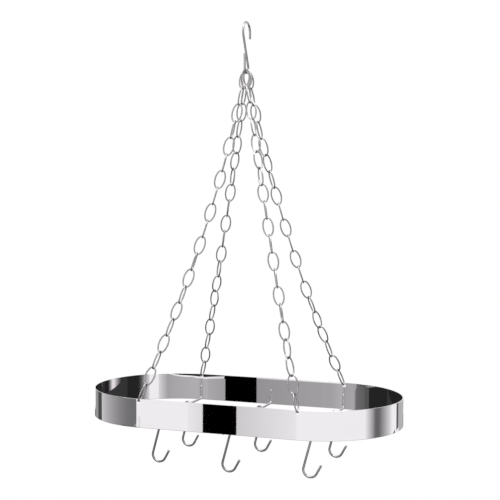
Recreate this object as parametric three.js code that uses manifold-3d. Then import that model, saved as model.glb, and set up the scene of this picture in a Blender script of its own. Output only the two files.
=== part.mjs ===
// Hanging pot rack: a flat strip bent into an oval band, three wire cross bars, six loose
// S-hooks for pots, and four link chains that meet on one S-hook at the ceiling.
// Millimetres. +Z is up, X runs along the band, Y across it, and the front is at -Y.
// The origin is where the ceiling hook hangs: the inside top of its large loop.

import * as THREE from 'three';
import { mergeVertices } from 'three/addons/utils/BufferGeometryUtils.js';
import Module from 'manifold-3d';

const wasm = await Module();
wasm.setup();

// Driving dimensions ------------------------------------------------------------------

const seatGap = 0.3;              // between two pieces that touch

const bandLength = 432;           // over the round ends, along X
const bandWidth = 220;            // across the flats, along Y
const bandHeight = 38;            // height of the strip
const bandThickness = 1.2;        // gauge of the strip
const bandEndSteps = 30;          // flats that make one round end

const stationInset = 107;         // from the band's end to an outer bar and its two chain holes
const holeDiameter = 5;           // chain hole in the strip
const holeDrop = 4;               // from the band's top rim down to a hole's centre

const barWire = 3;                // wire of a cross bar
const barLift = 2;                // from the band's bottom rim up to the bar's axis
const barRise = 19.5;             // from the bar's axis up to the tip of its upturned end
const barBend = 4;                // radius of the bend, on the wire's centre line

const linkWire = 2;               // wire of a chain link
const linkLength = 27.1;          // over the outside of a link
const linkWidth = 15;             // over the outside of a link
const linksPerChain = 20;         // an even number: the last link passes through the strip
const tautTurn = 0.07;            // how far the tightest chain bends over its length, radians
const twistRun = 0.3;             // share of a chain over which its twist sets in or is undone
const pairPress = 0.3;            // how far the two links of a joined pair bed into each other
const holePlay = 0.6;             // from a hole's upper edge to the last link, which leans in it

const hangerWire = 3;             // wire of the ceiling hook
const hangerHeight = 68;          // between the two bends, on the wire's centre line
const hangerTopRadius = 13.5;     // large loop, on the wire's centre line
const hangerBottomRadius = 7;     // small loop, on the wire's centre line
const hangerTopArm = 8;           // straight end of the large loop
const hangerBottomArm = 20;       // straight end of the small loop
const hangerPlay = 0.6;           // from the small loop's wire to the first links, which swing on it

const hookWire = 3;               // wire of a pot hook
const hookHeight = 62.5;          // between the two bends, on the wire's centre line
const hookTopRadius = 5;          // small loop over the bar, on the wire's centre line
const hookBottomRadius = 9.5;     // large loop for the pot, on the wire's centre line
const hookOffset = 11;            // the large loop's centre is this far beyond the small one's
const hookFlare = 0.31;           // how far the large loop's open arm leans out, radians
const hookBottomArm = 13.5;       // straight end of the large loop
const hookTopArm = 12;            // straight end of the small loop
const frontHookInsets = [62.5, 44, 51.5]; // from the band's front: left, middle and right hook
const backHookInsets = [53.5, 48.5, 46];  // from the band's back: left, middle and right hook

const linkSides = 5;
const linkSteps = 12;
const wireSides = 8;
const bendSteps = 9;              // steps in half a turn of a hook
const cornerSteps = 4;            // steps in a bar's bend
const tipRound = 0.35;            // length of a wire's rounded end, as a share of its diameter
const tipScale = 0.6;             // size of the flat left on that end
const holeSides = 20;

// Sizes that follow from them ---------------------------------------------------------

const endRadius = bandWidth / 2;
const straightHalf = bandLength / 2 - endRadius;
const stationX = bandLength / 2 - stationInset;

const hangerTopZ = hangerWire / 2;
const hangerLoopZ = hangerTopZ - hangerHeight + hangerBottomRadius;

// Shared helpers ----------------------------------------------------------------------

// The radius at which a polygon with these sides holds as much as the round wire does.
function sectionRadius(wire, sides) {
  const angle = (2 * Math.PI) / sides;
  return (wire / 2) * Math.sqrt(angle / Math.sin(angle));
}

// A closed body from points and triangles, turned so that its faces point out.
function closedBody(positions, indices) {
  const corner = (i) => new THREE.Vector3().fromArray(positions, 3 * indices[i]);
  let volume = 0;
  for (let i = 0; i < indices.length; i += 3) {
    volume += corner(i).dot(corner(i + 1).cross(corner(i + 2)));
  }
  if (volume < 0) indices.reverse();
  const geometry = new THREE.BufferGeometry();
  geometry.setAttribute('position', new THREE.Float32BufferAttribute(positions, 3));
  geometry.setIndex(indices);
  geometry.computeVertexNormals();
  return geometry;
}

function toSolid(geometry) {
  const bare = geometry.clone();
  bare.deleteAttribute('normal');
  bare.deleteAttribute('uv');
  const merged = mergeVertices(bare, 1e-5);
  const vertProperties = new Float32Array(merged.attributes.position.array);
  const triVerts = new Uint32Array(merged.index.array);
  return new wasm.Manifold(new wasm.Mesh({ numProp: 3, vertProperties, triVerts }));
}

function fromSolid(solid) {
  const mesh = solid.getMesh();
  return closedBody(Array.from(mesh.vertProperties), Array.from(mesh.triVerts));
}

// A round wire bent in one plane. The points are the wire's centre line in the local X-Z
// plane. Each corner of the line is mitred, and the skin has a flat towards its inside.
function bentWire(points, wire, sides, closed) {
  const radius = sectionRadius(wire, sides);
  const stations = points.map((point) => ({ point, scale: 1 }));
  if (!closed) {
    const roundEnd = (tip, next) => {
      const inward = next.clone().sub(tip).setLength(tipRound * wire);
      return tip.clone().add(inward);
    };
    const last = points.length - 1;
    stations[0].scale = tipScale;
    stations[last].scale = tipScale;
    stations.splice(last, 0, { point: roundEnd(points[last], points[last - 1]), scale: 1 });
    stations.splice(1, 0, { point: roundEnd(points[0], points[1]), scale: 1 });
  }
  const count = stations.length;
  const at = (i) => stations[closed ? (i + count) % count : THREE.MathUtils.clamp(i, 0, count - 1)];
  const heading = (i) => at(i + 1).point.clone().sub(at(i).point).normalize();
  const positions = [];
  for (let i = 0; i < count; i++) {
    const after = !closed && i === count - 1 ? heading(i - 1) : heading(i);
    const before = !closed && i === 0 ? after : heading(i - 1);
    const along = before.clone().add(after).normalize();
    const mitre = 1 / along.dot(after);
    for (let j = 0; j < sides; j++) {
      const angle = Math.PI + ((j + 0.5) * 2 * Math.PI) / sides;
      const reach = radius * at(i).scale;
      const out = reach * mitre * Math.cos(angle);
      positions.push(at(i).point.x + along.y * out, reach * Math.sin(angle), at(i).point.y - along.x * out);
    }
  }
  const indices = [];
  for (let i = 0; i < (closed ? count : count - 1); i++) {
    const ring = i * sides;
    const next = ((i + 1) % count) * sides;
    for (let j = 0; j < sides; j++) {
      const k = (j + 1) % sides;
      indices.push(ring + j, next + j, next + k, ring + j, next + k, ring + k);
    }
  }
  if (!closed) {
    const end = (count - 1) * sides;
    for (let j = 1; j < sides - 1; j++) {
      indices.push(0, j, j + 1, end, end + j + 1, end + j);
    }
  }
  return closedBody(positions, indices);
}

// Points on an arc from one angle to another, both ends included.
function arc(centre, radius, from, to, steps) {
  const points = [];
  for (let i = 0; i <= steps; i++) {
    const angle = THREE.MathUtils.lerp(from, to, i / steps);
    points.push(new THREE.Vector2(radius * Math.cos(angle), radius * Math.sin(angle)).add(centre));
  }
  return points;
}

function piece(name, geometry, material) {
  const mesh = new THREE.Mesh(geometry, material);
  mesh.name = name;
  return mesh;
}

function chrome(roughness) {
  return new THREE.MeshStandardMaterial({ color: 0xdadce0, metalness: 1, roughness });
}

// Band --------------------------------------------------------------------------------

function ovalOutline(target, radius) {
  target.moveTo(-straightHalf, -radius);
  target.lineTo(straightHalf, -radius);
  target.absarc(straightHalf, 0, radius, -Math.PI / 2, Math.PI / 2, false);
  target.lineTo(-straightHalf, radius);
  target.absarc(-straightHalf, 0, radius, Math.PI / 2, (3 * Math.PI) / 2, false);
  return target;
}

// Half the width of an oval at a place along it, where its round ends have this radius.
function halfWidthAt(x, radius) {
  const past = Math.max(0, Math.abs(x) - straightHalf);
  return Math.sqrt(radius * radius - past * past);
}

const innerY = halfWidthAt(stationX, endRadius - bandThickness);
const outerY = halfWidthAt(stationX, endRadius);

// The band's bottom rim is at zero height in its own frame.
function makeBand() {
  const outline = ovalOutline(new THREE.Shape(), endRadius);
  outline.holes.push(ovalOutline(new THREE.Path(), endRadius - bandThickness));
  const strip = new THREE.ExtrudeGeometry(outline, {
    depth: bandHeight,
    bevelEnabled: false,
    curveSegments: bandEndSteps,
  });
  let solid = toSolid(strip);
  for (const side of [-1, 1]) {
    for (const end of [-1, 1]) {
      const cutLength = 4 * bandThickness;
      const cutter = new THREE.CylinderGeometry(holeDiameter / 2, holeDiameter / 2, cutLength, holeSides);
      cutter.translate(end * stationX, side * (outerY + innerY) / 2, bandHeight - holeDrop);
      solid = solid.subtract(toSolid(cutter));
    }
  }
  return piece('band', fromSolid(solid), chrome(0.06));
}

// Cross bars --------------------------------------------------------------------------

// A bar lies across the band and both its ends turn up against the strip's inner faces.
function makeBar(name, x) {
  const reach = halfWidthAt(x, endRadius - bandThickness) - seatGap - barWire / 2;
  const bend = reach - barBend;
  const points = [
    new THREE.Vector2(-reach, barRise),
    ...arc(new THREE.Vector2(-bend, barBend), barBend, Math.PI, 1.5 * Math.PI, cornerSteps),
    ...arc(new THREE.Vector2(bend, barBend), barBend, 1.5 * Math.PI, 2 * Math.PI, cornerSteps),
    new THREE.Vector2(reach, barRise),
  ];
  const bar = piece(name, bentWire(points, barWire, wireSides, false), chrome(0.14));
  bar.rotation.z = Math.PI / 2;
  bar.position.set(x, 0, barLift);
  return bar;
}

// S-hooks -----------------------------------------------------------------------------

// The centre line of an S-hook: a small loop about the origin, open on the left, a straight
// stem that touches both loops, and a large loop below it, open on the right.
function hookLine({ height, small, large, offset, flare, smallArm, largeArm }) {
  const smallCentre = new THREE.Vector2(0, 0);
  const largeCentre = new THREE.Vector2(offset, small + large - height);
  const between = largeCentre.clone().sub(smallCentre);
  const lean = Math.asin((small + large) / between.length());
  const touch = between.angle() - lean + Math.PI / 2 - 2 * Math.PI;
  const smallSteps = Math.round(bendSteps * (1 - touch / Math.PI));
  const largeSteps = Math.round(bendSteps * (1 - (flare + touch) / Math.PI));
  const end = -flare;
  const points = [
    new THREE.Vector2(-small, -smallArm),
    ...arc(smallCentre, small, Math.PI, touch, smallSteps),
    ...arc(largeCentre, large, touch - Math.PI, end, largeSteps),
  ];
  const armEnd = new THREE.Vector2(Math.sin(flare), Math.cos(flare)).multiplyScalar(largeArm);
  points.push(points[points.length - 1].clone().add(armEnd));
  return points;
}

// The ceiling hook is an S-hook with its large loop on top, standing in the Y-Z plane.
function makeCeilingHook() {
  const points = hookLine({
    height: hangerHeight,
    small: hangerBottomRadius,
    large: hangerTopRadius,
    offset: 0,
    flare: 0,
    smallArm: hangerBottomArm,
    largeArm: hangerTopArm,
  });
  const hook = piece('ceiling_hook', bentWire(points, hangerWire, wireSides, false), chrome(0.14));
  hook.rotation.set(Math.PI, 0, Math.PI / 2, 'ZYX');
  hook.position.z = hangerLoopZ;
  return hook;
}

// The turn that brings a hook's middle of mass straight below the bar it hangs on.
function balanceTurn(points, pivot) {
  const moment = new THREE.Vector2();
  for (let i = 1; i < points.length; i++) {
    const run = points[i].distanceTo(points[i - 1]);
    const middle = points[i].clone().add(points[i - 1]).multiplyScalar(0.5).sub(pivot);
    moment.addScaledVector(middle, run);
  }
  return Math.atan2(moment.x, -moment.y);
}

// A pot hook hangs on a bar by its small loop, in the X-Z plane, and is in balance.
function makePotHook(name, x, y) {
  const points = hookLine({
    height: hookHeight,
    small: hookTopRadius,
    large: hookBottomRadius,
    offset: hookOffset,
    flare: hookFlare,
    smallArm: hookTopArm,
    largeArm: hookBottomArm,
  });
  const pivot = new THREE.Vector2(0, hookTopRadius - (hookWire + barWire) / 2 - seatGap);
  const onBar = points.map((point) => point.clone().sub(pivot));
  const hook = piece(name, bentWire(onBar, hookWire, wireSides, false), chrome(0.14));
  hook.rotation.y = balanceTurn(points, pivot);
  hook.position.set(x, y, barLift);
  return hook;
}

// Chains ------------------------------------------------------------------------------

// An oval link in the local X-Z plane, long way up.
function makeLink() {
  const cornerReach = 1 / Math.cos(Math.PI / linkSteps);
  const points = [];
  for (let i = 0; i < linkSteps; i++) {
    const angle = ((i + 0.5) * 2 * Math.PI) / linkSteps;
    const halfWidth = ((linkWidth - linkWire) / 2) * cornerReach;
    const halfLength = ((linkLength - linkWire) / 2) * cornerReach;
    points.push(new THREE.Vector2(halfWidth * Math.cos(angle), halfLength * Math.sin(angle)));
  }
  return bentWire(points, linkWire, linkSides, true);
}

// Links 1 and the last are single nodes. The ones between are joined in pairs: 2 and 3,
// 4 and 5, and so on. Wires of joined links are pressed together, and all others are free.
const freeCrossing = linkWire + seatGap;
const joinedCrossing = linkWire - pairPress;
const isJoinedBelow = (link) => link % 2 === 0 && link < linksPerChain;

// How far down the chain each link's centre lies, and the length of the whole chain, both
// on the wire's centre line at the chain's ends.
function linkStations() {
  const reach = (linkLength - linkWire) / 2;
  const stations = [];
  let start = 0;
  for (let link = 1; link <= linksPerChain; link++) {
    stations.push(start + reach);
    start += 2 * reach - (isJoinedBelow(link) ? joinedCrossing : freeCrossing);
  }
  return { stations, chainLength: stations[linksPerChain - 1] + reach };
}

const { stations: linkCentres, chainLength } = linkStations();

// The first links lie side by side in the ceiling hook's small loop, a little apart. Each
// chain has a place there, counted from the middle of the loop. It also has a lazy twist of
// its own, which starts at one share of its length and is all undone at another.
const linkSpread = linkWire + 2 * seatGap;
const seatRadius = hangerBottomRadius - hangerWire / 2 - hangerPlay - linkWire / 2;
const seatAngle = 2 * Math.asin(linkSpread / 2 / seatRadius);

const chains = [
  { name: 'front_right', end: 1, side: -1, place: -1.5, twist: -1.2, from: 0.12, until: 1 },
  { name: 'front_left', end: -1, side: -1, place: -0.5, twist: 0.35, from: 0, until: 0.75 },
  { name: 'back_right', end: 1, side: 1, place: 0.5, twist: -1.2, from: 0.12, until: 0.93 },
  { name: 'back_left', end: -1, side: 1, place: 1.5, twist: -1.2, from: 0.12, until: 0.84 },
];

function chainTop(chain) {
  const angle = chain.place * seatAngle;
  const drop = seatRadius * Math.cos(angle);
  return new THREE.Vector3(0, seatRadius * Math.sin(angle), hangerLoopZ - drop);
}

// Where a chain's last wire runs through the strip, close under its hole's upper edge.
function chainFoot(chain, z) {
  return new THREE.Vector3(chain.end * stationX, (chain.side * (outerY + innerY)) / 2, z);
}

// The rack hangs level on the tightest chains, and the others sag a little more.
function footLevel() {
  const half = tautTurn / 2;
  const tautChord = (chainLength * Math.sin(half)) / half;
  const levels = chains.map((chain) => {
    const top = chainTop(chain);
    const across = chainFoot(chain, top.z).distanceTo(top);
    return top.z - Math.sqrt(tautChord * tautChord - across * across);
  });
  return Math.max(...levels);
}

const footZ = footLevel();
const holeZ = footZ - (holeDiameter - linkWire) / 2 + holePlay;
const bandBottomZ = holeZ + holeDrop - bandHeight;

// A chain sags in a shallow arc, in the upright plane through its two ends. The half turn of
// the arc follows from how much longer the chain is than the straight line between them.
function chainCurve(chain) {
  const top = chainTop(chain);
  const foot = chainFoot(chain, footZ);
  const chord = foot.clone().sub(top);
  const spare = 1 - chord.length() / chainLength;
  const half = Math.sqrt(6 * spare + 1.8 * spare * spare);
  const radius = chainLength / (2 * half);
  const middle = chord.length() / 2;
  const along = chord.normalize();
  const sag = new THREE.Vector3(0, 0, -1);
  sag.addScaledVector(along, -sag.dot(along)).normalize();
  return (distance) => {
    const angle = half * ((2 * distance) / chainLength - 1);
    const point = top.clone().addScaledVector(along, middle + radius * Math.sin(angle));
    point.addScaledVector(sag, radius * (Math.cos(angle) - Math.cos(half)));
    const tangent = along.clone().multiplyScalar(Math.cos(angle)).addScaledVector(sag, -Math.sin(angle));
    return { point, tangent };
  };
}

// How far a chain is twisted at a share of its length.
function twistAt(chain, share) {
  const gained = THREE.MathUtils.smoothstep(share, chain.from, chain.from + twistRun);
  const undone = THREE.MathUtils.smoothstep(share, chain.until - twistRun, chain.until);
  return chain.twist * (gained - undone);
}

// A link's place: its length runs along the chain, and it is broadside to the front or
// edge on in turn, and turned by the chain's twist.
function linkMatrix(chain, curve, link) {
  const { point, tangent } = curve(linkCentres[link - 1]);
  const up = tangent.clone().negate();
  const across = link % 2 === 1 ? new THREE.Vector3(1, 0, 0) : new THREE.Vector3(0, 1, 0);
  across.addScaledVector(up, -across.dot(up)).normalize();
  const share = (link - 1) / (linksPerChain - 1);
  across.applyAxisAngle(up, twistAt(chain, share));
  const facing = up.clone().cross(across);
  return new THREE.Matrix4().makeBasis(across, facing, up).setPosition(point);
}

function makeChain(chain) {
  const group = new THREE.Group();
  const curve = chainCurve(chain);
  const add = (label, geometry, matrix) => {
    const mesh = piece(`chain_${chain.name}_${label}`, geometry, chrome(0.2));
    matrix.decompose(mesh.position, mesh.quaternion, mesh.scale);
    group.add(mesh);
  };
  for (let link = 1; link <= linksPerChain; link++) {
    const matrix = linkMatrix(chain, curve, link);
    if (isJoinedBelow(link)) {
      const toUpper = matrix.clone().invert().multiply(linkMatrix(chain, curve, link + 1));
      const lower = makeLink().applyMatrix4(toUpper);
      const pair = toSolid(makeLink()).add(toSolid(lower));
      add(`links_${link}_${link + 1}`, fromSolid(pair), matrix);
      link += 1;
    } else {
      add(`link_${link}`, makeLink(), matrix);
    }
  }
  return group;
}

// Assembly ----------------------------------------------------------------------------

const rack = new THREE.Group();
rack.position.z = bandBottomZ;
rack.add(makeBand());
const barPlaces = [['left', -stationX], ['middle', 0], ['right', stationX]];
barPlaces.forEach(([place, x], i) => {
  rack.add(makeBar(`bar_${place}`, x));
  rack.add(makePotHook(`pot_hook_front_${place}`, x, frontHookInsets[i] - bandWidth / 2));
  rack.add(makePotHook(`pot_hook_back_${place}`, x, bandWidth / 2 - backHookInsets[i]));
});

const potRack = new THREE.Group();
potRack.add(makeCeilingHook(), rack);
for (const chain of chains) potRack.add(makeChain(chain));

export default potRack;
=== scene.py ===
# %% [markdown]
# # A hanging pot rack in chrome
#
# The rack is a flat steel strip bent into an oval band, and four chains hold it up from one
# hook. Three wires cross the band, and six S-hooks hang on them for pots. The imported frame
# already holds every piece at its size, with its joints. This script gives each piece the
# surface and the finish that the eye expects, then sets up a studio and a camera around it.

# %% Load the frame
import math

import bpy
import numpy as np
from mathutils import Matrix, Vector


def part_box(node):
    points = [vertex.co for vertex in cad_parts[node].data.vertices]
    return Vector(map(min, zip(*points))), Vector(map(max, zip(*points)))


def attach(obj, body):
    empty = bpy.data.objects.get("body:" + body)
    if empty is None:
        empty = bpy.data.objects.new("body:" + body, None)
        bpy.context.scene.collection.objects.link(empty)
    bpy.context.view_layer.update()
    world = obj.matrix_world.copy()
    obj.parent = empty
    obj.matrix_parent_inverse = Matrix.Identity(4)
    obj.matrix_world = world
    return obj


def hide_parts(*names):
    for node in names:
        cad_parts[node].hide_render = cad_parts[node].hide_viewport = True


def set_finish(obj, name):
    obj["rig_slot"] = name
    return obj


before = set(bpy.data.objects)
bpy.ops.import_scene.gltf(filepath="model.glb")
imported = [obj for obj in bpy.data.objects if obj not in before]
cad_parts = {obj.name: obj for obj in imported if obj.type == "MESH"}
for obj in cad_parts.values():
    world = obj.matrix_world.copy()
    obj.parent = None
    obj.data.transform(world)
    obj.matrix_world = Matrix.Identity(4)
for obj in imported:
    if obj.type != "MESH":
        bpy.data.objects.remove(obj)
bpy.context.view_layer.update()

# %% [markdown]
# ## Sizes
#
# Blender counts in metres. What the frame can tell is read from it: the band's box gives the
# rack's outside sizes and its level, and a bar's box gives its place. Only the gauges, bends
# and clearances that a box can't tell are written down here.

# %% Sizes
MM = 0.001

SEAT_GAP = 0.3 * MM
BAND_THICKNESS = 1.2 * MM
HOLE_DIAMETER = 5 * MM
HOLE_DROP = 4 * MM
HOLE_PLAY = 0.6 * MM

BAR_WIRE = 3 * MM
BAR_LIFT = 2 * MM
BAR_RISE = 19.5 * MM
BAR_BEND = 4 * MM

LINK_WIRE = 2 * MM
LINK_LENGTH = 27.1 * MM
LINK_WIDTH = 15 * MM
LINKS_PER_CHAIN = 20
CHAIN_LENGTH = 463.7 * MM
TWIST_RUN = 0.3

HOOK_WIRE = 3 * MM
CEILING_HOOK = dict(height=68, small=7, large=13.5, offset=0, flare=0, small_arm=20, large_arm=8)
POT_HOOK = dict(height=62.5, small=5, large=9.5, offset=11, flare=0.31, small_arm=12, large_arm=13.5)
HANGER_PLAY = 0.6 * MM

band_low, band_high = (np.array(corner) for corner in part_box("band"))
band_length, band_width, band_height = band_high - band_low
end_radius = band_width / 2
straight_half = band_length / 2 - end_radius
station_x = float(np.mean([corner[0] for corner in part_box("bar_right")]))
rim_z = float(band_high[2])
print(f"Band {band_length:.3f} x {band_width:.3f} x {band_height:.3f} m, its rim at {rim_z:.4f} m")

# %% [markdown]
# ## The camera
#
# The picture was taken from the front, a little to the right and a little above the band, with
# a long lens. A camera in Blender is an object that looks along its own -Z axis with +Y up, so
# its place is written as three axes and a point. The angles, the distance and the lens were
# found by fitting the rack's known sizes to the picture, so no lens shift is needed.

# %% Camera
VIEW_AZIMUTH = math.radians(19.88)
VIEW_ELEVATION = math.radians(3.12)
VIEW_ROLL = math.radians(0.17)
VIEW_DISTANCE = 1.5832
AIM_ABOVE_RIM = 0.1918
AIM_ASIDE = 0.0054
SENSOR = 36.0
LENS = 84.11

forward = np.array([
    -math.sin(VIEW_AZIMUTH) * math.cos(VIEW_ELEVATION),
    math.cos(VIEW_AZIMUTH) * math.cos(VIEW_ELEVATION),
    -math.sin(VIEW_ELEVATION),
])
level = np.array([math.cos(VIEW_AZIMUTH), math.sin(VIEW_AZIMUTH), 0.0])
upward = np.cross(level, forward)
aim = level * AIM_ASIDE + np.array([0.0, 0.0, rim_z + AIM_ABOVE_RIM])

camera_data = bpy.data.cameras.new("camera")
camera_data.sensor_width = SENSOR
camera_data.lens = LENS
camera_data.clip_end = 100
camera = bpy.data.objects.new("camera", camera_data)
placing = np.eye(4)
placing[:3, 0] = math.cos(VIEW_ROLL) * level + math.sin(VIEW_ROLL) * upward
placing[:3, 1] = math.cos(VIEW_ROLL) * upward - math.sin(VIEW_ROLL) * level
placing[:3, 2] = -forward
placing[:3, 3] = aim - forward * VIEW_DISTANCE
camera.matrix_world = Matrix(placing.tolist())
bpy.context.scene.collection.objects.link(camera)
bpy.context.scene.camera = camera
print("Camera at", [round(c, 3) for c in placing[:3, 3]])

# %% [markdown]
# ## From a grid to a mesh
#
# Every piece here is bent wire or bent strip, so each is a grid of points worked out with
# numpy and joined by four-sided faces. Such a grid could be drawn face by face in bmesh, but
# whole arrays are shorter to write and much quicker. A grid that wraps round joins its last
# row or column to its first. Faces have to point outwards, and the sign of the volume that
# they enclose tells whether they do.

# %% Mesh helpers
pieces = {}


def grid_faces(rows, columns, wrap_rows=False):
    """Corners of each cell of a grid of points that are counted along the rows. The cell at
    (r, c) has the corners (r, c), (r, c + 1), (r + 1, c + 1) and (r + 1, c), and the columns
    wrap round."""
    r = np.arange(rows if wrap_rows else rows - 1)[:, None]
    c = np.arange(columns)[None, :]
    below = (r + 1) % rows
    beside = (c + 1) % columns
    corners = [r * columns + c, r * columns + beside, below * columns + beside, below * columns + c]
    return np.stack(np.broadcast_arrays(*corners), axis=-1).reshape(-1, 4)


def facing_out(points, quads, triangles=None):
    """All faces as lists, in the order that points them outwards. The enclosed volume is a
    sixth of the sum of a . (b x c) over the triangles, and it is positive when they do."""
    a, b, c, d = (points[quads[:, i]] for i in range(4))
    volume = np.sum(a * (np.cross(b, c) + np.cross(c, d)))
    order = 1 if volume > 0 else -1
    faces = quads[:, ::order].tolist()
    if triangles is not None:
        faces += triangles[:, ::order].tolist()
    return faces


def add_piece(name, points, faces, body, nodes, slot, uv=None):
    """A smooth mesh object from points and faces, which rides on a body in place of its CAD
    nodes and takes its finish from a slot."""
    mesh = bpy.data.meshes.new(name)
    mesh.from_pydata(points.tolist(), [], faces)
    mesh.polygons.foreach_set("use_smooth", np.ones(len(mesh.polygons), dtype=bool))
    if uv is not None:
        corners = np.empty(len(mesh.loops), dtype=np.int32)
        mesh.loops.foreach_get("vertex_index", corners)
        layer = mesh.uv_layers.new(name="wire")
        layer.uv.foreach_set("vector", uv[corners].astype(np.float32).ravel())
    mesh.update()
    piece = bpy.data.objects.new(name, mesh)
    bpy.context.scene.collection.objects.link(piece)
    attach(piece, body)
    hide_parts(*nodes)
    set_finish(piece, slot)
    pieces[name] = piece
    return piece


def off_the_box(points, *nodes):
    """How far, in millimetres, the box of some points is from the box of their CAD nodes."""
    boxes = np.array([[list(corner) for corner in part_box(node)] for node in nodes])
    low, high = boxes[:, 0].min(axis=0), boxes[:, 1].max(axis=0)
    return max(abs(points.min(axis=0) - low).max(), abs(points.max(axis=0) - high).max()) / MM


# %% [markdown]
# ## Round wire along a line
#
# Hooks, cross bars and links are all round wire, bent in one plane. A curve object with a
# round bevel would make them too, but its ends would be flat discs. Here a circle is carried
# along the line instead. Its last few copies shrink into a worn, rounded tip, and the wire's
# length and girth become its UV map, which the drawn finish follows later.

# %% Wire
WIRE_SIDES = 20
TIP_STEPS = 5
TIP_REACH = 0.35
TIP_CLEAR = 1.01


def headings(line, closed):
    """The direction of a line at each point: the mean of the two straight runs that meet
    there, or the one run at a free end, brought to length 1."""
    runs = np.roll(line, -1, axis=0) - line
    runs = runs if closed else runs[:-1]
    runs = runs / np.linalg.norm(runs, axis=1, keepdims=True)
    before = np.roll(runs, 1, axis=0) if closed else np.vstack([runs[:1], runs])
    after = runs if closed else np.vstack([runs, runs[-1:]])
    mean = before + after
    return mean / np.linalg.norm(mean, axis=1, keepdims=True)


def rounded_ends(line, heading, radii):
    """The line, headings and radii with both ends rounded. Each end's circles are a quarter of
    an ellipse: their radii follow its cosine, and their places its sine times the reach."""
    along = np.concatenate([[0.0], np.cumsum(np.linalg.norm(np.diff(line, axis=0), axis=1))])
    reach = TIP_REACH * 2 * radii[0]
    turn = np.linspace(0, np.pi / 2, TIP_STEPS + 2)[:-1]
    kept = (along > reach * TIP_CLEAR) & (along < along[-1] - reach * TIP_CLEAR)
    first = line[0] + heading[0] * reach * (1 - np.sin(turn[::-1, None]))
    last = line[-1] - heading[-1] * reach * (1 - np.sin(turn[:, None]))
    line = np.vstack([first, line[kept], last])
    radii = np.concatenate([radii[0] * np.cos(turn[::-1]), radii[kept], radii[-1] * np.cos(turn)])
    first_heading = np.repeat(heading[:1], len(turn), axis=0)
    last_heading = np.repeat(heading[-1:], len(turn), axis=0)
    return line, np.vstack([first_heading, heading[kept], last_heading]), radii


def wire_surface(line, normal, radii, closed=False, sides=WIRE_SIDES):
    """Circles carried along a line in a plane. Each circle is spanned by the plane's normal
    and by heading x normal, times its radius. A free end closes in a point."""
    heading = headings(line, closed)
    radii = np.full(len(line), radii) if np.isscalar(radii) else radii
    tips = line[[0, -1]]
    if not closed:
        line, heading, radii = rounded_ends(line, heading, radii)
    angle = np.arange(sides) * 2 * np.pi / sides
    across = np.cross(heading, normal)[:, None, :] * np.cos(angle)[None, :, None]
    upright = np.asarray(normal)[None, None, :] * np.sin(angle)[None, :, None]
    points = (line[:, None, :] + radii[:, None, None] * (across + upright)).reshape(-1, 3)
    along = np.concatenate([[0.0], np.cumsum(np.linalg.norm(np.diff(line, axis=0), axis=1))])
    uv = np.stack(np.meshgrid(along, angle / (2 * np.pi), indexing="ij"), axis=-1).reshape(-1, 2)
    quads = grid_faces(len(line), sides, wrap_rows=closed)
    if closed:
        return points, facing_out(points, quads), uv
    ring = np.arange(sides)
    onward = (ring + 1) % sides
    end = (len(line) - 1) * sides
    pole = np.full(sides, len(points))
    fans = np.vstack([
        np.stack([pole, onward, ring], axis=1),
        np.stack([pole + 1, end + ring, end + onward], axis=1),
    ])
    faces = facing_out(points, quads, fans)
    points = np.vstack([points, tips])
    uv = np.vstack([uv, [[0, 0.5], [along[-1], 0.5]]])
    return points, faces, uv


# %% [markdown]
# ## S-hooks
#
# An S-hook is a small loop, a straight stem and a large loop, and the stem touches both loops.
# The straight line between two circles that turn opposite ways leans from the line of their
# centres by the arcsine of their radii's sum over the distance, which gives the point where
# each arc ends. Drawing the hook by eye would leave a kink there, and chrome shows any kink.

# %% Hook line
ARC_STEP = math.radians(5)


def arc(centre, radius, start, end):
    """Points on an arc between two angles, about one for each ARC_STEP."""
    steps = max(2, round(abs(end - start) / ARC_STEP))
    angle = np.linspace(start, end, steps + 1)
    return np.asarray(centre) + radius * np.stack([np.cos(angle), np.sin(angle)], axis=1)


def hook_line(height, small, large, offset, flare, small_arm, large_arm):
    """The hook's centre line in a plane, in metres: the small loop is about (0, 0) and open on
    the left, and the large loop is about (offset, small + large - height)."""
    below = np.array([offset, small + large - height], dtype=float)
    lean = math.asin((small + large) / np.hypot(*below))
    touch = math.atan2(below[1], below[0]) - lean + math.pi / 2
    line = np.vstack([
        [[-small, -small_arm]],
        arc((0, 0), small, math.pi, touch),
        arc(below, large, touch - math.pi, -flare),
    ])
    arm = large_arm * np.array([math.sin(flare), math.cos(flare)])
    return np.vstack([line, line[-1] + arm]) * MM


def balance_turn(line, pivot):
    """The angle that brings the wire's middle of mass straight below a point: each run of the
    line weighs as much as its length, and its mass is at its middle."""
    run = np.linalg.norm(np.diff(line, axis=0), axis=1)
    moment = (run[:, None] * ((line[1:] + line[:-1]) / 2 - pivot)).sum(axis=0)
    return math.atan2(moment[0], -moment[1])


# %% [markdown]
# ## The ceiling hook
#
# This hook carries the whole rack. Its large loop is on top and goes over a hook or rail in
# the ceiling, and the four chains' first links lie in its small loop. It is the same S as the
# pot hooks, turned upside down and standing across the rack.

# %% Ceiling hook
hanger_line = hook_line(**CEILING_HOOK)
hanger_small = CEILING_HOOK["small"] * MM
hanger_loop_z = HOOK_WIRE / 2 - CEILING_HOOK["height"] * MM + hanger_small
across_the_rack = hanger_line[:, 0]
above_origin = hanger_loop_z - hanger_line[:, 1]
upright = np.stack([np.zeros(len(hanger_line)), across_the_rack, above_origin], axis=1)
points, faces, uv = wire_surface(upright, (1.0, 0.0, 0.0), HOOK_WIRE / 2)
add_piece("ceiling_hook_wire", points, faces, "ceiling_hook", ["ceiling_hook"], "hook_chrome", uv)
print(f"Ceiling hook: {len(faces)} faces, {off_the_box(points, 'ceiling_hook'):.2f} mm off its node")

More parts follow.
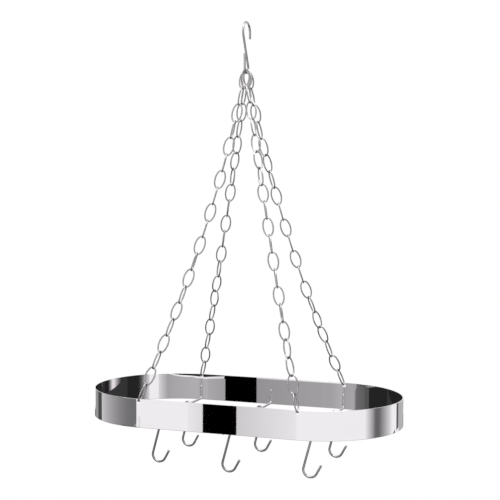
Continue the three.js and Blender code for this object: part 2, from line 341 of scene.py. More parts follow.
# %% [markdown]
# ## The band
#
# The band is one strip of steel, 1.2 mm thick, bent into an oval and joined end to end. It
# could be a flat plane with Solidify and a Boolean for the four chain holes, but a Boolean
# leaves long thin triangles round each hole, and they show as creases in chrome. Here the
# strip's cross section, with its rounded edges, is carried round the oval. Round each hole a
# square of cells is left out on both faces. Rings of points go from that square's edge to the
# hole's circle, through the strip and out to the other square.

# %% Band helpers
RIM_ROUND = 0.35 * MM
RIM_STEPS = 4
COLUMN_PITCH = 2.4 * MM
PATCH_HALF = 3.3 * MM
PATCH_CELLS = 8
ROWS_BELOW_HOLES = 8
HOLE_ROUND = 0.2 * MM
HOLE_ROUND_STEPS = 4
RING_SHARES = (0.35, 0.7, 0.93, 1.0)

middle_radius = end_radius - BAND_THICKNESS / 2
half_turn = math.pi * middle_radius
perimeter = 4 * straight_half + 2 * half_turn


def on_the_oval(distance, out):
    """Points beside the oval: distance runs along the middle line of the strip, from the
    middle of the front to the right, and out is how far the point stands out from that line.
    Straight stretches give (x, +-radius), and round ends a centre plus radius times
    (sin, -cos) of the distance since the end began over the radius."""
    distance = np.mod(distance, perimeter)
    reach = middle_radius + out
    mirrored = distance > perimeter / 2
    run = np.where(mirrored, distance - perimeter / 2, distance)
    bend = np.clip((run - straight_half) / middle_radius, 0, math.pi)
    x = np.where(run < straight_half, run, np.where(
        run > straight_half + half_turn,
        straight_half - (run - straight_half - half_turn),
        straight_half,
    )) + reach * np.sin(bend)
    y = -reach * np.cos(bend)
    return np.stack([np.where(mirrored, -x, x), np.where(mirrored, -y, y)], axis=-1)


def strip_section():
    """The strip's cross section as (out, height) pairs, closed, with its corners rounded by
    quarter circles, and the row at which each face's patch of cells begins."""
    half = BAND_THICKNESS / 2
    hole_height = band_height - HOLE_DROP
    patch = hole_height + np.linspace(-PATCH_HALF, PATCH_HALF, PATCH_CELLS + 1)
    edge = RIM_ROUND * 1.2
    lower = np.concatenate([[edge], np.linspace(3 * edge, patch[0], ROWS_BELOW_HOLES + 1)[:-1]])
    heights = np.concatenate([lower, patch, [band_height - edge]])
    turn = np.linspace(0, np.pi / 2, RIM_STEPS + 1)
    corner = RIM_ROUND * np.stack([np.cos(turn) - 1, np.sin(turn) - 1], axis=1)
    outer = np.stack([np.full(len(heights), half), heights], axis=1)
    top = np.array([half, band_height]) + corner
    top_in = np.array([-half, band_height]) + (corner * [-1, 1])[::-1]
    inner = outer[::-1] * [-1, 1]
    bottom_in = np.array([-half, 0]) + corner * [-1, -1]
    bottom = np.array([half, 0]) + (corner * [1, -1])[::-1]
    section = np.vstack([outer, top, top_in, inner, bottom_in, bottom])
    outer_row = len(lower)
    inner_row = len(outer) + len(top) + len(top_in) + len(heights) - outer_row - PATCH_CELLS - 1
    return section, outer_row, inner_row


def hole_places():
    """The distance along the oval of each chain hole: where the middle line is above the
    station's x, past the start of each round end."""
    past = middle_radius * math.asin((station_x - straight_half) / middle_radius)
    near = straight_half + past
    return np.array([near, perimeter / 2 - near, perimeter / 2 + near, perimeter - near])


def columns_round_the_band(holes):
    """The distances of all columns, and the column at which each hole's patch begins. The
    patches have their own even columns, and even ones of about COLUMN_PITCH fill the rest."""
    columns, starts = [], []
    for place, after in zip(holes, np.append(holes[1:], holes[0] + perimeter)):
        starts.append(sum(len(part) for part in columns))
        columns.append(place + np.linspace(-PATCH_HALF, PATCH_HALF, PATCH_CELLS + 1))
        room = after - place - 2 * PATCH_HALF
        count = round(room / COLUMN_PITCH)
        columns.append(place + PATCH_HALF + room * np.arange(1, count) / count)
    return np.concatenate(columns), starts


# %% [markdown]
# The columns of points stand along the strip and the rows go round its section, so the whole
# strip is one grid that closes on itself both ways. The squares for the holes are left out.

# %% Band mesh
section, outer_row, inner_row = strip_section()
holes = hole_places()
columns, patch_columns = columns_round_the_band(holes)
sides = len(section)
plan = on_the_oval(columns[:, None], section[None, :, 0])
heights = np.broadcast_to(section[None, :, 1] + band_low[2], plan.shape[:2])
points = np.concatenate([plan, heights[..., None]], axis=-1).reshape(-1, 3)
quads = grid_faces(len(columns), sides, wrap_rows=True)
kept = np.ones((len(columns), sides), dtype=bool)
for start in patch_columns:
    for row in (outer_row, inner_row):
        kept[start:start + PATCH_CELLS, row:row + PATCH_CELLS] = False
band_quads = [quads[kept.ravel()]]
band_points = [points]

# %% [markdown]
# A ring round a hole has as many points as the edge of its square, so the rings join one to
# one. The points are laid out flat first, as a distance along the strip, a height and a
# distance out from its middle, and only then bent onto the oval.


# %% Chain holes
def square_edge(start, row, step):
    """The numbers of the grid's points round a patch, starting at its lower left as seen from
    outside. step is 1 where the rows go up, as outside, and -1 where they go down."""
    cells = np.arange(PATCH_CELLS)
    low, high = (row, row + PATCH_CELLS) if step > 0 else (row + PATCH_CELLS, row)
    climb = row + cells if step > 0 else row + PATCH_CELLS - cells
    fall = row + PATCH_CELLS - cells if step > 0 else row + cells
    column = np.concatenate([
        start + cells,
        np.full(PATCH_CELLS, start + PATCH_CELLS),
        start + PATCH_CELLS - cells,
        np.full(PATCH_CELLS, start),
    ])
    rows = np.concatenate([np.full(PATCH_CELLS, low), climb, np.full(PATCH_CELLS, high), fall])
    return column * sides + rows


def hole_rings(place):
    """Rings from one face's square to the other's. From square to circle they move evenly, a
    quarter circle rounds each edge, and the rest is the bore. Each ring is an array of
    (distance, out, height)."""
    around = 4 * PATCH_CELLS
    corner = np.linspace(-1, 1, PATCH_CELLS + 1)[:-1]
    one = np.ones(PATCH_CELLS)
    square = np.stack([
        np.concatenate([corner, one, -corner, -one]),
        np.concatenate([-one, corner, one, -corner]),
    ], axis=1) * PATCH_HALF
    circle = square / np.linalg.norm(square, axis=1, keepdims=True)
    half = BAND_THICKNESS / 2
    bore = HOLE_DIAMETER / 2
    brim = circle * (bore + HOLE_ROUND)
    flat = [(square * (1 - share) + brim * share, half) for share in RING_SHARES]
    turn = np.linspace(0, np.pi / 2, HOLE_ROUND_STEPS + 1)[1:]
    edge = [(circle * (bore + HOLE_ROUND * (1 - math.sin(t))), half - HOLE_ROUND * (1 - math.cos(t)))
            for t in turn]
    front = flat + edge
    rings = front + [(ring, -out) for ring, out in front[::-1]]
    centre = np.array([place, band_height - HOLE_DROP])
    return [np.column_stack([ring[:, 0] + centre[0], np.full(around, out), ring[:, 1] + centre[1]])
            for ring, out in rings]


count = len(points)
for place, start in zip(holes, patch_columns):
    rings = np.stack(hole_rings(place))
    flat = on_the_oval(rings[..., 0], rings[..., 1])
    ring_points = np.concatenate([flat, rings[..., 2:] + band_low[2]], axis=-1)
    numbers = count + np.arange(rings.shape[0] * rings.shape[1]).reshape(rings.shape[:2])
    numbers = np.vstack([
        square_edge(start, outer_row, 1)[None],
        numbers,
        square_edge(start, inner_row, -1)[None],
    ])
    onward = np.roll(numbers, -1, axis=1)
    cells = np.stack([numbers[:-1], onward[:-1], onward[1:], numbers[1:]], axis=-1)
    band_quads.append(cells.reshape(-1, 4))
    band_points.append(ring_points.reshape(-1, 3))
    count += ring_points.shape[0] * ring_points.shape[1]

points = np.vstack(band_points)


def same_way(grid, extra):
    """The ring cells turned the way that the grid's cells face. An edge that two well turned
    neighbours share runs opposite ways in them."""
    edges = {(a, b) for quad in grid.tolist() for a, b in zip(quad, quad[1:] + quad[:1])}
    clash = sum((a, b) in edges for quad in extra.tolist() for a, b in zip(quad, quad[1:] + quad[:1]))
    return extra[:, ::-1] if clash else extra


for i in range(1, len(band_quads)):
    band_quads[i] = same_way(band_quads[0], band_quads[i])
faces = facing_out(points, np.vstack(band_quads))
add_piece("band_strip", points, faces, "rack", ["band"], "band_chrome")
print(f"Band: {len(faces)} faces, {off_the_box(points, 'band'):.2f} mm off its node")

# %% [markdown]
# ## Cross bars
#
# Three wires lie across the band near its bottom rim, and both ends of each turn up against
# the strip, where they are welded on. The outer two are past the start of the round ends, so
# they are a little shorter than the middle one.

# %% Cross bars
bar_z = band_low[2] + BAR_LIFT
places = {"left": -station_x, "middle": 0.0, "right": station_x}


def half_width_at(x, radius):
    """Half the width of an oval with straight sides at a place along it: the root of the
    radius squared less the square of how far x is past the straight side."""
    past = max(0.0, abs(x) - straight_half)
    return math.sqrt(radius * radius - past * past)


for place, x in places.items():
    reach = half_width_at(x, end_radius - BAND_THICKNESS) - SEAT_GAP - BAR_WIRE / 2
    bend = reach - BAR_BEND
    flat = np.vstack([
        [[-reach, BAR_RISE]],
        arc((-bend, BAR_BEND), BAR_BEND, math.pi, 1.5 * math.pi),
        arc((bend, BAR_BEND), BAR_BEND, 1.5 * math.pi, 2 * math.pi),
        [[reach, BAR_RISE]],
    ])
    line = np.stack([np.full(len(flat), x), flat[:, 0], bar_z + flat[:, 1]], axis=1)
    points, faces, uv = wire_surface(line, (1.0, 0.0, 0.0), BAR_WIRE / 2)
    add_piece(f"cross_bar_{place}", points, faces, "rack", [f"bar_{place}"], "bar_chrome", uv)
    print(f"Bar {place}: {len(faces)} faces, {off_the_box(points, f'bar_{place}'):.2f} mm off its node")

# %% [markdown]
# ## Pot hooks
#
# Six loose S-hooks hang on the bars by their small loops, free to slide and swing, and no two
# are quite in line: the frame tells how far along its bar each one hangs. A hook at rest has
# its middle of mass straight below the bar, so its lean follows from its own shape. The large
# loop's open arm leans outwards, which lets a pan's handle slip on.

# %% Pot hooks
pot_line = hook_line(**POT_HOOK)
pivot = np.array([0.0, POT_HOOK["small"] * MM - (HOOK_WIRE + BAR_WIRE) / 2 - SEAT_GAP])
lean = balance_turn(pot_line, pivot)
about_bar = pot_line - pivot
hung = np.stack([
    about_bar[:, 0] * math.cos(lean) + about_bar[:, 1] * math.sin(lean),
    about_bar[:, 1] * math.cos(lean) - about_bar[:, 0] * math.sin(lean),
], axis=1)
print(f"Pot hooks lean {math.degrees(lean):.2f} degrees")

for side in ("front", "back"):
    for place, x in places.items():
        name = f"pot_hook_{side}_{place}"
        along_bar = float(np.mean([corner[1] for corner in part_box(name)]))
        line = np.stack([x + hung[:, 0], np.full(len(hung), along_bar), bar_z + hung[:, 1]], axis=1)
        points, faces, uv = wire_surface(line, (0.0, 1.0, 0.0), HOOK_WIRE / 2)
        add_piece(f"{name}_wire", points, faces, name, [name], "hook_chrome", uv)
        print(f"{name}: {len(faces)} faces, {off_the_box(points, name):.2f} mm off its node")

# %% [markdown]
# ## Chains
#
# Each chain has twenty oval links, and each link is a length of wire bent round and welded on
# one side, where it stays a little thicker. A chain could be one link under an Array and a
# Curve modifier, but every link then turns by the same rule. Here each link's place is worked
# out instead: its centre is on a shallow arc that sags between the hook and the band, its
# length lies along the arc, and neighbours are a quarter turn apart. Each chain also has a
# lazy twist, gained over one stretch of it and undone over another.

# %% Chain curve
REACH = (LINK_LENGTH - LINK_WIRE) / 2
SEAT_RADIUS = hanger_small - HOOK_WIRE / 2 - HANGER_PLAY - LINK_WIRE / 2
LINK_SPREAD = LINK_WIRE + 2 * SEAT_GAP
CHAINS = {
    "front_right": dict(end=1, side=-1, place=-1.5, twist=-1.2, start=0.12, until=1),
    "front_left": dict(end=-1, side=-1, place=-0.5, twist=0.35, start=0, until=0.75),
    "back_right": dict(end=1, side=1, place=0.5, twist=-1.2, start=0.12, until=0.93),
    "back_left": dict(end=-1, side=1, place=1.5, twist=-1.2, start=0.12, until=0.84),
}
hole_z = band_high[2] - HOLE_DROP
foot_z = hole_z + (HOLE_DIAMETER - LINK_WIRE) / 2 - HOLE_PLAY
outer_y = half_width_at(station_x, end_radius)
inner_y = half_width_at(station_x, end_radius - BAND_THICKNESS)
foot_y = (outer_y + inner_y) / 2


def unit(vector):
    """A vector divided by its length."""
    return vector / np.linalg.norm(vector)


def smooth_step(share, start):
    """0 before a start, 1 from TWIST_RUN after it, and 3 t^2 - 2 t^3 between them."""
    t = np.clip((share - start) / TWIST_RUN, 0, 1)
    return t * t * (3 - 2 * t)


def link_places(end, side, place, twist, start, until):
    """Centres and axes of a chain's links. The arc through both ends has the half turn that
    makes it as long as the chain: the root of 6 s + 1.8 s squared, where s is the share by
    which the chain is longer than the straight line. Returns the centres and, for each link,
    the axes (across, facing, up)."""
    seat = 2 * place * math.asin(LINK_SPREAD / 2 / SEAT_RADIUS)
    top = np.array([0, SEAT_RADIUS * math.sin(seat), hanger_loop_z - SEAT_RADIUS * math.cos(seat)])
    foot = np.array([end * station_x, side * foot_y, foot_z])
    chord = np.linalg.norm(foot - top)
    spare = 1 - chord / CHAIN_LENGTH
    half = math.sqrt(6 * spare + 1.8 * spare ** 2)
    radius = CHAIN_LENGTH / (2 * half)
    along = unit(foot - top)
    sag = unit(np.array([0, 0, -1.0]) + along[2] * along)
    distance = np.linspace(REACH, CHAIN_LENGTH - REACH, LINKS_PER_CHAIN)
    angle = half * (2 * distance / CHAIN_LENGTH - 1)
    forth = chord / 2 + radius * np.sin(angle)
    down = radius * (np.cos(angle) - math.cos(half))
    centres = top + forth[:, None] * along + down[:, None] * sag
    up = np.sin(angle)[:, None] * sag - np.cos(angle)[:, None] * along
    number = np.arange(LINKS_PER_CHAIN)
    plain = np.where((number % 2 == 0)[:, None], [1.0, 0.0, 0.0], [0.0, 1.0, 0.0])
    plain -= np.sum(plain * up, axis=1)[:, None] * up
    plain /= np.linalg.norm(plain, axis=1, keepdims=True)
    share = number / (LINKS_PER_CHAIN - 1)
    turn = twist * (smooth_step(share, start) - smooth_step(share, until - TWIST_RUN))[:, None]
    across = plain * np.cos(turn) + np.cross(up, plain) * np.sin(turn)
    return centres, np.stack([across, np.cross(up, across), up], axis=1)


# %% [markdown]
# A link is drawn once, flat, and then set in all eighty places by its three axes. Its line is
# an ellipse, and a low swelling on one long side is where the wire's ends were welded.

# %% Links
LINK_STEPS = 56
LINK_SIDES = 12
WELD_SWELL = 0.09
WELD_SPREAD = 0.16
MIDDLE_LINK = 10

turn = np.linspace(0, 2 * np.pi, LINK_STEPS, endpoint=False)
link_line = np.stack([
    (LINK_WIDTH - LINK_WIRE) / 2 * np.cos(turn),
    np.zeros(LINK_STEPS),
    REACH * np.sin(turn),
], axis=1)
from_weld = np.abs(np.mod(turn + np.pi, 2 * np.pi) - np.pi)
link_radii = LINK_WIRE / 2 * (1 + WELD_SWELL * np.exp(-((from_weld / WELD_SPREAD) ** 2)))
link_points, link_faces, link_uv = wire_surface(
    link_line, (0.0, 1.0, 0.0), link_radii, closed=True, sides=LINK_SIDES
)
print(f"One link: {len(link_faces)} faces")


def node_of(chain, link):
    """The CAD node that holds a link. The first and the last link have their own."""
    if link in (1, LINKS_PER_CHAIN):
        return f"chain_{chain}_link_{link}"
    upper = link - link % 2
    return f"chain_{chain}_links_{upper}_{upper + 1}"


for chain, settings in CHAINS.items():
    centres, axes = link_places(**settings)
    placed = np.einsum("pa,lax->lpx", link_points, axes) + centres[:, None, :]
    for link in range(1, LINKS_PER_CHAIN + 1):
        name = f"chain_{chain}_link_{link:02d}"
        nodes = [node_of(chain, link)]
        add_piece(name, placed[link - 1], link_faces, "rack", nodes, "chain_chrome", link_uv)
    ends = [off_the_box(placed[0], f"chain_{chain}_link_1")]
    ends.append(off_the_box(placed[-1], f"chain_{chain}_link_{LINKS_PER_CHAIN}"))
    pair_points = placed[MIDDLE_LINK - 1:MIDDLE_LINK + 1].reshape(-1, 3)
    middle = off_the_box(pair_points, node_of(chain, MIDDLE_LINK))
    print(f"Chain {chain}: {ends[0]:.2f}, {middle:.2f} and {ends[1]:.2f} mm off its nodes")

# %% [markdown]
# ## Shader maths
#
# A material's pattern is a small sum over noise and coordinates. Written as Python, the sum
# can be read, so one class wraps a node's output and lends it the operators. Numbers that are
# the same all over a surface are set straight on the shader's own socket.


# %% Node class
class Value:
    """An output of a node in a material's tree. + - * and maths add Math nodes."""

    def __init__(self, tree, socket):
        self.tree = tree
        self.socket = socket

    @staticmethod
    def node(tree, kind, settings=None, sockets=None, output=0):
        """Any node. Its settings are set first. Sockets are given by name or number, and each
        gets a value or a link."""
        made = tree.nodes.new("ShaderNode" + kind)
        for key, setting in (settings or {}).items():
            setattr(made, key, setting)
        for key, value in (sockets or {}).items():
            if isinstance(value, Value):
                tree.links.new(value.socket, made.inputs[key])
            else:
                made.inputs[key].default_value = value
        return Value(tree, made.outputs[output])

    def maths(self, operation, *others):
        sockets = dict(enumerate((self,) + others))
        return Value.node(self.tree, "Math", {"operation": operation}, sockets)

    def __add__(self, other):
        return self.maths("ADD", other)

    __radd__ = __add__

    def __mul__(self, other):
        return self.maths("MULTIPLY", other)

    __rmul__ = __mul__

    def __sub__(self, other):
        return self.maths("SUBTRACT", other)

    def __rsub__(self, other):
        return (self * -1.0) + other

    def clipped(self, low, high):
        """This value mapped from between two numbers to between 0 and 1, and held there."""
        return Value.node(self.tree, "MapRange", None, {0: self, 1: low, 2: high, 3: 0.0, 4: 1.0})


def new_material(name):
    """A material with its shader, and the tree to put a pattern in."""
    material = bpy.data.materials.new(name)
    material.use_nodes = True
    return material, material.node_tree, material.node_tree.nodes["Principled BSDF"]


def grey(tree, value):
    """The value as a colour with a breath of violet, which this chrome has."""
    return Value.node(tree, "CombineColor", None, {0: value, 1: value * 0.97, 2: value})


# %% [markdown]
# ## Chrome on the strip
#
# Polished chrome is nearly a mirror, so its look is the room around it. What makes it steel
# and not a perfect mirror is small. Fine lines along it are left from rolling, and handling
# leaves faint dull patches: noise in the colour and the roughness gives both. A bump of long,
# very low waves bends the reflections a little, since bent strip is never quite even.

# %% Band material
BAND_GREY = 0.86
BAND_ROUGHNESS = 0.008


def band_chrome():
    """The strip's finish. Its grey loses a little where it is dull and where a line runs, and
    its roughness gains a little there."""
    material, tree, shader = new_material("polished_chrome_strip")
    where = Value.node(tree, "TexCoord", output="Object")
    waves = Value.node(tree, "TexNoise", None, {"Vector": where, "Scale": 6.0, "Detail": 1.0})
    smudge = Value.node(tree, "TexNoise", None, {"Vector": where, "Scale": 28.0, "Detail": 4.0})
    drawn_out = Value.node(tree, "Mapping", None, {"Vector": where, "Scale": (6.0, 6.0, 900.0)})
    lines = Value.node(tree, "TexNoise", None, {"Vector": drawn_out, "Scale": 1.0, "Detail": 2.0})
    dull = smudge.clipped(0.5, 0.75)
    tone = BAND_GREY - dull * 0.02 - lines.clipped(0.5, 0.8) * 0.015
    roughness = BAND_ROUGHNESS + dull * 0.004 + lines * 0.002
    low_bump = {"Height": waves, "Strength": 0.02, "Distance": 0.001}
    bump = Value.node(tree, "Bump", None, low_bump, "Normal")
    shader.inputs["Metallic"].default_value = 1.0
    tree.links.new(grey(tree, tone).socket, shader.inputs["Base Color"])
    tree.links.new(roughness.socket, shader.inputs["Roughness"])
    tree.links.new(bump.socket, shader.inputs["Normal"])
    return material


# %% [markdown]
# ## Chrome on the wire
#
# Wire is drawn through a die before it is plated, and the plating covers the fine lines along
# it but doesn't fill them. It also isn't buffed as the strip is, so it is a softer metal. Its
# grey is darker than the strip's, and the hooks' and links' greys are darker than the bars'.
# This is partly the plated wire's own duller tone and partly painted shade, which stands in for
# the darkness that the thin hanging wires mirror from the room. The pattern follows each wire
# by its UV map, whose first number is metres along it.

# %% Wire material


def wire_chrome(name, base, soft):
    """A wire's finish, worked out as the strip's is, from a base grey and a base roughness."""
    material, tree, shader = new_material(name)
    along = Value.node(tree, "UVMap", {"uv_map": "wire"})
    where = Value.node(tree, "TexCoord", output="Object")
    drawn = Value.node(tree, "Mapping", None, {"Vector": along, "Scale": (60.0, 40.0, 1.0)})
    lines = Value.node(tree, "TexNoise", None, {"Vector": drawn, "Scale": 1.0, "Detail": 3.0})
    cloud = Value.node(tree, "TexNoise", None, {"Vector": where, "Scale": 90.0, "Detail": 3.0})
    dull = cloud.clipped(0.45, 0.75)
    tone = base - dull * 0.06 - lines.clipped(0.45, 0.8) * 0.05
    roughness = soft + dull * 0.08 + lines * 0.05
    height = lines * 0.3 + cloud
    drawn_bump = {"Height": height, "Strength": 0.08, "Distance": 0.0003}
    bump = Value.node(tree, "Bump", None, drawn_bump, "Normal")
    shader.inputs["Metallic"].default_value = 1.0
    tree.links.new(grey(tree, tone).socket, shader.inputs["Base Color"])
    tree.links.new(roughness.socket, shader.inputs["Roughness"])
    tree.links.new(bump.socket, shader.inputs["Normal"])
    return material


strip_finish = band_chrome()
# The hooks' and links' lower base greys are partly painted shade: they darken these wires below the
# bars' grey.
bar_finish = wire_chrome("plated_wire_bars", base=0.7, soft=0.3)
hook_finish = wire_chrome("plated_wire_hooks", base=0.47, soft=0.22)
link_finish = wire_chrome("plated_wire_links", base=0.44, soft=0.2)
finishes = {
    "band_chrome": strip_finish,
    "bar_chrome": bar_finish,
    "hook_chrome": hook_finish,
    "chain_chrome": link_finish,
}

# %% [markdown]
# Each piece carries the name of its finish. Hooks and bars are kept out of reflections: the
# real strip shows such thin wires only as faint smudges, and a sharp line there would read as
# a scratch.

# %% Give out the finishes
for piece in pieces.values():
    piece.data.materials.clear()
    piece.data.materials.append(finishes[piece["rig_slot"]])
for name, piece in pieces.items():
    piece.visible_glossy = "hook" not in name and "bar" not in name
print(f"{len(pieces)} pieces, {len(bpy.data.materials)} materials")

# %% [markdown]
# ## The studio
#
# Chrome is photographed in a white room with black cards in it: the white makes it shine, and
# the cards draw its shape. The world is white wherever the camera or a reflection looks, and
# dimmer for the light that falls on the floor. A card is a plain sheet that only reflections
# see, so it never shows in the picture or shades the floor.

# %% World
ROOM_LIGHT = 0.7

world = bpy.data.worlds.new("white_room")
bpy.context.scene.world = world
world.use_nodes = True
tree = world.node_tree
background = tree.nodes["Background"]
seen = Value.node(tree, "LightPath", output="Is Camera Ray")
mirrored = Value.node(tree, "LightPath", output="Is Glossy Ray")
through = Value.node(tree, "LightPath", output="Is Transmission Ray")
white = seen.maths("MAXIMUM", mirrored).maths("MAXIMUM", through)
tree.links.new((ROOM_LIGHT + white * (1 - ROOM_LIGHT)).socket, background.inputs["Strength"])
background.inputs["Color"].default_value = (1, 1, 1, 1)

# %% [markdown]
# The floor is a wide, pale disc well below the rack. It takes the light as any floor does, and
# towards its edge it fades into plain white, so the picture has no horizon.

# %% Floor
FLOOR_Z = -1.6
FLOOR_RADIUS = 3.0
FLOOR_SIDES = 96
FADE_START = 0.4
FADE_END = 0.95


def stage_mesh(name, points, faces, material):
    """A mesh that belongs to the studio and not to the rack."""
    mesh = bpy.data.meshes.new(name)
    mesh.from_pydata(points, [], faces)
    mesh.materials.append(material)
    stage = bpy.data.objects.new(name, mesh)
    bpy.context.scene.collection.objects.link(stage)
    return stage


def floor_material():
    """A pale floor that fades to plain white towards its edge where the camera sees it."""
    material, tree, shader = new_material("pale_floor")
    where = Value.node(tree, "TexCoord", output="Object")
    out = Value.node(tree, "VectorMath", {"operation": "LENGTH"}, {0: where}, "Value")
    fade = out.clipped(FADE_START * FLOOR_RADIUS, FADE_END * FLOOR_RADIUS)
    seen = Value.node(tree, "LightPath", output="Is Camera Ray")
    glow = Value.node(tree, "Emission", None, {"Color": (1, 1, 1, 1), "Strength": 1.0})
    shader.inputs["Base Color"].default_value = (0.86, 0.86, 0.86, 1)
    shader.inputs["Roughness"].default_value = 0.8
    shader.inputs["Specular IOR Level"].default_value = 0.2
    lit = Value(tree, shader.outputs[0])
    mixed = Value.node(tree, "MixShader", None, {0: fade * seen, 1: lit, 2: glow})
    tree.links.new(mixed.socket, tree.nodes["Material Output"].inputs["Surface"])
    return material


around = np.linspace(0, 2 * np.pi, FLOOR_SIDES, endpoint=False)
disc = np.stack([FLOOR_RADIUS * np.cos(around), FLOOR_RADIUS * np.sin(around), 0 * around], axis=1)
floor = stage_mesh("floor", disc.tolist(), [list(range(FLOOR_SIDES))], floor_material())
floor.location.z = FLOOR_Z
print("Floor at", FLOOR_Z, "m")

# %% [markdown]
# A card is a sheet, nearly always upright, with one grey at its start and another at its end.
# It glows, and only reflections see it, so it can stand close to the rack. A smoked sheet has
# no glow of its own and dims what is behind it. The front's outer face and the back's inner
# face mirror nearly the same directions, but from places 220 mm apart, so a card can be above
# the one's line and below the other's. Where each card has to stand for its tone to show in
# the right place was found by following rays from the camera.

# %% Cards


def pair(value):
    """A value for the start and one for the end, of one or two given."""
    return value if isinstance(value, tuple) else (value, value)


def card_material(name, greys, late, smoked):
    """A glow, or a smoked glass, whose grey is start + share ** late * (end - start)."""
    material = bpy.data.materials.new(name)
    material.use_nodes = True
    tree = material.node_tree
    tree.nodes.clear()
    first, last = greys
    across = Value.node(tree, "UVMap", {"uv_map": "card"})
    share = Value.node(tree, "SeparateXYZ", None, {0: across}).maths("POWER", late)
    tone = first + share * (last - first)
    colour = Value.node(tree, "CombineColor", None, {0: tone, 1: tone, 2: tone})
    kind = "BsdfTransparent" if smoked else "Emission"
    surface = Value.node(tree, kind, None, {"Color": colour})
    output = tree.nodes.new("ShaderNodeOutputMaterial")
    tree.links.new(surface.socket, output.inputs["Surface"])
    return material


def sheet_between(name, corners, greys, late=1.0, smoked=False):
    """A sheet with four corners that only reflections see. Its first two corners run from the
    start to the end of its greys."""
    material = card_material(name, pair(greys), late, smoked)
    sheet = stage_mesh(name, corners, [[0, 1, 2, 3]], material)
    layer = sheet.data.uv_layers.new(name="card")
    layer.uv.foreach_set("vector", np.array([0, 0, 1, 0, 1, 1, 0, 1], dtype=np.float32))
    sheet.visible_camera = False
    sheet.visible_diffuse = False
    sheet.visible_shadow = False
    sheet.visible_transmission = False


def card(name, start, end, low, high, greys, **kind):
    """An upright sheet between two points on the plan. Any of low, high and greys is one
    number, or one for the start and one for the end."""
    lows, highs = pair(low), pair(high)
    corners = [(*start, lows[0]), (*end, lows[1]), (*end, highs[1]), (*start, highs[0])]
    sheet_between(name, corners, greys, **kind)


def level_card(name, half, height, grey):
    """A level square sheet below the origin, with half its width, its height and one grey."""
    plan = [(-half, -half), (half, -half), (half, half), (-half, half)]
    sheet_between(name, [(x, y, height) for x, y in plan], grey)


# %% [markdown]
# Far in front stands the tall black card that both faces mirror as a crisp dark block, with
# grey cards beside it that shade the flats. Smoked sheets just in front of the band dim the
# whole room for the inner face alone, whose view passes under the band's front.

# %% Front cards
FAR = -6.61
FAR_FOOT = -2.4
FAR_TOP = -1.3
BLOCK_LEFT = -2.670
BLOCK_RIGHT = -2.406
NEAR = -0.16
NEAR_FOOT = -0.64
NEAR_TOP = -0.5455


def far_card(name, left, right, greys):
    """One of the tall cards that stand side by side far in front."""
    card(name, (left, FAR), (right, FAR), FAR_FOOT, FAR_TOP, greys)


def near_card(name, left, right, greys, top=NEAR_TOP, smoked=True):
    """One of the low sheets that hang side by side just in front of the band."""
    card(name, (left, NEAR), (right, NEAR), NEAR_FOOT, top, greys, smoked=smoked)


far_card("far_left_card", -2.79, BLOCK_LEFT, (0.95, 0.83))
far_card("far_black_card", BLOCK_LEFT, BLOCK_RIGHT, 0.0)
far_card("far_right_card", BLOCK_RIGHT, -1.96, (0.70, 0.92))
far_card("far_end_card", -1.96, -1.60, (0.92, 1.0))
near_card("smoked_end", -0.217, -0.15, 0.5, top=(-0.552, -0.5465))
near_card("smoked_left", -0.15, -0.04, (0.5, 0.45))
near_card("smoked_middle", -0.04, -0.003, (0.45, 0.43))
near_card("smoked_right", 0.014, 0.10, (0.44, 0.8))
card("near_left_card", (-0.385, -0.60), (-0.345, -0.60), -0.70, -0.628, (0.92, 0.80))
near_card("near_right_card", -0.003, 0.014, 0.42, smoked=False)

# %% [markdown]
# The round ends mirror the sides. There, a card with its foot at the line shades the outer
# face, and a card with its top at the line shades the inner face, which looks into near
# darkness. Most of the low cards stand a little further out, so that no two cards overlap in
# one plane. The highest card on each side is for the wires: it gives each chain link a dark
# flank.

# %% Left cards
SIDE_TOP = -0.42
LINKS_FOOT = -0.41
LINKS_TOP = 0.10
FURTHER_OUT = 0.002
LEFT = -0.43
LOW_LEFT = LEFT - FURTHER_OUT


def side_card(name, x, start, end, low, high, greys, late=1.0):
    """A card that stands along one side, from one y to another."""
    card(name, (x, start), (x, end), low, high, greys, late=late)


side_card("left_grey_card", LEFT, -0.62, -0.02, (-0.650, -0.595), SIDE_TOP, (0.18, 0.66), late=3)
side_card("left_dark_edge", LEFT, -0.02, 0.055, -0.595, SIDE_TOP, 0.08)
side_card("left_edge_card", LEFT, 0.055, 0.17, (-0.595, -0.600), SIDE_TOP, 0.33)
side_card("left_low_far", LOW_LEFT, -0.69, -0.62, -1.0, (-0.682, -0.660), (0.45, 0.38))
side_card("left_low_near", LOW_LEFT, -0.62, -0.33, -1.0, -0.61, (0.38, 0.24))
side_card("left_low_edge", LOW_LEFT, -0.33, -0.25, -1.0, -0.60, (0.12, 0.09))
side_card("left_low_black", LOW_LEFT, -0.25, 0.25, -1.0, -0.59, 0.02)
side_card("left_high_card", LEFT, -0.30, 0.30, LINKS_FOOT, LINKS_TOP, 0.18)

# %% [markdown]
# On the right, the outer face shows one soft dark stripe, from a dark card between two that
# fade to white. Two more cards shade that end's far edge, and the low ones are again for the
# inner face.

# %% Right cards
RIGHT = 0.43
LOW_RIGHT = RIGHT + FURTHER_OUT
side_card("right_fade_in", RIGHT, -0.115, -0.03, -0.596, SIDE_TOP, (0.95, 0.15))
side_card("right_dark_card", RIGHT, -0.03, 0.0, -0.596, SIDE_TOP, 0.15)
side_card("right_fade_out", RIGHT, 0.0, 0.16, -0.597, SIDE_TOP, (0.15, 0.90))
side_card("right_dark_edge", RIGHT, 0.30, 0.40, (-0.612, -0.625), SIDE_TOP, 0.12)
side_card("right_edge_card", RIGHT, 0.40, 0.75, (-0.625, -0.68), SIDE_TOP, 0.5)
side_card("right_low_front", RIGHT, -0.06, -0.25, -1.2, (-0.597, -0.603), (0.02, 0.8), late=1.3)
side_card("right_low_black", LOW_RIGHT, -0.06, 0.25, -1.2, (-0.595, -0.602), 0.02)
side_card("right_high_card", RIGHT, -0.30, 0.30, LINKS_FOOT, LINKS_TOP, 0.18)

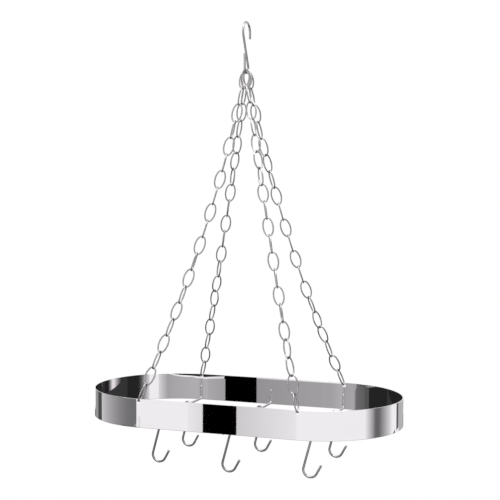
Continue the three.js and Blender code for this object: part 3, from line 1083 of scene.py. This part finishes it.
# %% [markdown]
# Behind the rack, a grey card keeps the right edge of the strip from fading into the white,
# and a far one gives the back its own shades. A dark flag hangs behind the strip with its top
# edge just under the strip's lower one, and the inner faces of both round ends mirror it. The
# outer face of the back is all above that edge, so from a usual height it mirrors the room.

# %% Back cards
FLAG_HALF = 0.212
FLAG_Y = 0.118
FLAG_DROP = 0.003
card("back_edge_card", (0.12, 0.80), (0.60, 0.80), -1.0, SIDE_TOP, 0.5)
card("far_back_card", (-3.0, 6.0), (3.0, 6.0), -3.2, -0.6, (0.4, 0.95))
flag_top = band_low[2] - FLAG_DROP
card("back_flag", (-FLAG_HALF, FLAG_Y), (FLAG_HALF, FLAG_Y), -0.72, flag_top, 0.04)

# %% [markdown]
# One level card lies under the rack, where the camera doesn't see it in the strip. It darkens
# the undersides of the wires, which would otherwise mirror the white room below and vanish in
# front of it.

# %% Card below
level_card("under_card", 0.42, -0.80, 0.12)

# %% [markdown]
# Two soft boxes, a wide one overhead and a tall one on the left, add to the room's light. They
# are large and weak, so the floor has no hard shadow on it.

# %% Lamps


def soft_box(name, place, aim_at, size, watts):
    """A rectangular lamp at a place. Its own +Z axis points back from what it is aimed at, and
    its +X axis is level: the cross product of straight up and that one."""
    lamp = bpy.data.lights.new(name, "AREA")
    lamp.shape = "RECTANGLE"
    lamp.size, lamp.size_y = size
    lamp.energy = watts
    holder = bpy.data.objects.new(name, lamp)
    back = unit(np.array(place) - np.array(aim_at))
    side = unit(np.cross([0.0, 0.0, 1.0], back))
    turned = np.eye(4)
    turned[:3, 0] = side
    turned[:3, 1] = np.cross(back, side)
    turned[:3, 2] = back
    turned[:3, 3] = place
    holder.matrix_world = Matrix(turned.tolist())
    bpy.context.scene.collection.objects.link(holder)


MID_CHAIN = (0, 0, -0.4)
soft_box("overhead_box", (0.3, -0.6, 1.6), MID_CHAIN, (1.8, 1.2), 30)
soft_box("left_box", (-2.2, -1.2, 0.4), MID_CHAIN, (1.0, 1.6), 12)

bpy.context.scene.view_settings.view_transform = "Standard"
